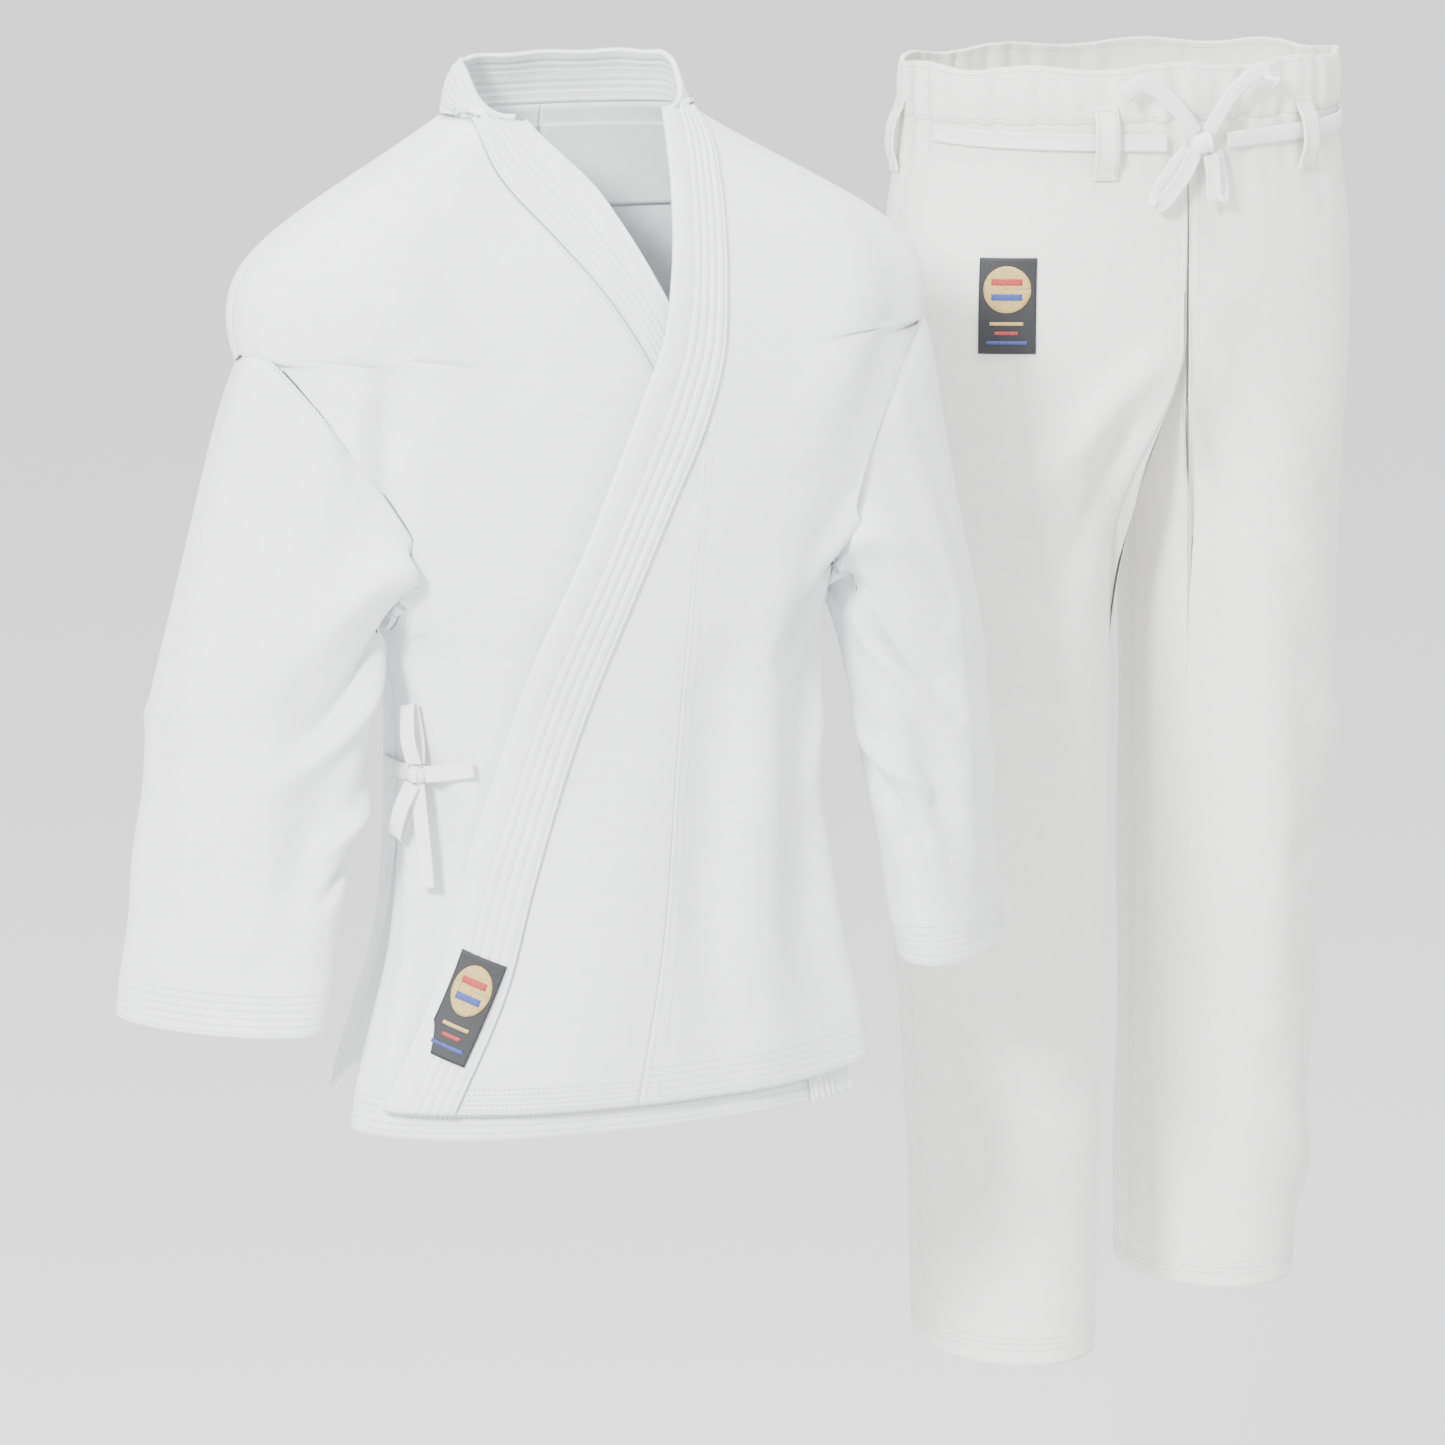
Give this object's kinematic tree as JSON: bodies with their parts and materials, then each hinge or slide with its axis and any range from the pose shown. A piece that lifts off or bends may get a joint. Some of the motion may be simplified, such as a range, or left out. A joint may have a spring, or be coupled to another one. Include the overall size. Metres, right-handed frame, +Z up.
{
  "type": "martial arts uniform",
  "caption": "White wrap-over canvas jacket with stitched lapel band and side tie, standing as worn, beside straight drawstring trousers with belt loops.",
  "frame": {"origin": "middle of the wearer's neck at the level where the shoulder seams reach the collar", "axes": "+Z up, the wearer faces -Y, the wearer's left is +X"},
  "size_m": [1.1322, 0.5082, 1.0827],
  "materials": {
    "jacket_canvas": "heavy plain-weave cotton canvas, matt",
    "trouser_canvas": "heavy plain-weave cotton canvas, matt",
    "cotton_tape": "flat woven cotton tape",
    "badge": "dense woven badge with a gold, red and blue figure"
  },
  "bodies": {
    "jacket": {"back_collar": "jacket_canvas", "left_back_hem_facing": "jacket_canvas", "left_back_panel": "jacket_canvas", "left_chest_panel": "jacket_canvas", "left_inner_tie": "cotton_tape", "left_shoulder_lining": "jacket_canvas", "left_vent_patch": "jacket_canvas", "over_lapel_top": "jacket_canvas", "right_back_hem_facing": "jacket_canvas", "right_back_panel": "jacket_canvas", "right_front_hem_facing": "jacket_canvas", "right_front_panel": "jacket_canvas", "right_inner_tie": "cotton_tape", "right_shoulder_lining": "jacket_canvas", "right_vent_patch": "jacket_canvas", "side_tie": "cotton_tape", "side_tie_knot": "cotton_tape", "side_tie_lower_loop": "cotton_tape", "side_tie_tail": "cotton_tape", "side_tie_upper_loop": "cotton_tape", "under_lapel": "jacket_canvas"},
    "left_front": {"over_lapel": "jacket_canvas", "left_overlap_panel": "jacket_canvas", "left_front_panel": "jacket_canvas", "left_front_hem_facing": "jacket_canvas", "jacket_badge": "badge", "lapel_tie": "cotton_tape"},
    "left_sleeve": {"left_sleeve": "jacket_canvas", "left_underarm_gusset": "jacket_canvas", "left_cuff_facing": "jacket_canvas"},
    "right_sleeve": {"right_sleeve": "jacket_canvas", "right_underarm_gusset": "jacket_canvas", "right_cuff_facing": "jacket_canvas"},
    "left_leg": {"left_leg": "trouser_canvas", "left_leg_hem_facing": "trouser_canvas"},
    "right_leg": {"right_leg": "trouser_canvas", "right_leg_hem_facing": "trouser_canvas"},
    "trousers": {"back_belt_loop": "trouser_canvas", "crotch_gusset": "trouser_canvas", "drawstring_knot": "cotton_tape", "drawstring_left": "cotton_tape", "drawstring_left_bow": "cotton_tape", "drawstring_left_tail": "cotton_tape", "drawstring_right": "cotton_tape", "drawstring_right_bow": "cotton_tape", "drawstring_right_tail": "cotton_tape", "front_left_belt_loop": "trouser_canvas", "front_right_belt_loop": "trouser_canvas", "left_seat_panel": "trouser_canvas", "right_seat_panel": "trouser_canvas", "side_left_belt_loop": "trouser_canvas", "side_right_belt_loop": "trouser_canvas", "trousers_badge": "badge", "waist_casing": "trouser_canvas"}
  },
  "joints": [
    {"name": "left_front_opening", "type": "hinge", "parent": "jacket", "child": "left_front", "pos_m": [0.05, -0.166, -0.236], "axis": [-0.2618, -0.0896, 0.961], "range_deg": [0, 60]},
    {"name": "left_sleeve_swing", "type": "hinge", "parent": "jacket", "child": "left_sleeve", "pos_m": [0.25, -0.02, -0.13], "axis": [-1, 0, 0], "range_deg": [-15, 60]},
    {"name": "right_sleeve_swing", "type": "hinge", "parent": "jacket", "child": "right_sleeve", "pos_m": [-0.25, -0.02, -0.13], "axis": [-1, 0, 0], "range_deg": [-15, 60]},
    {"name": "trousers_lift", "type": "slide", "parent": "jacket", "child": "trousers", "axis": [0, 0, 1], "range_m": [0, 0.3]},
    {"name": "left_leg_swing", "type": "hinge", "parent": "trousers", "child": "left_leg", "pos_m": [0.672, 0.2, -0.112], "axis": [-1, 0, 0], "range_deg": [-20, 45]},
    {"name": "right_leg_swing", "type": "hinge", "parent": "trousers", "child": "right_leg", "pos_m": [0.472, 0.2, -0.112], "axis": [-1, 0, 0], "range_deg": [-20, 45]}
  ]
}
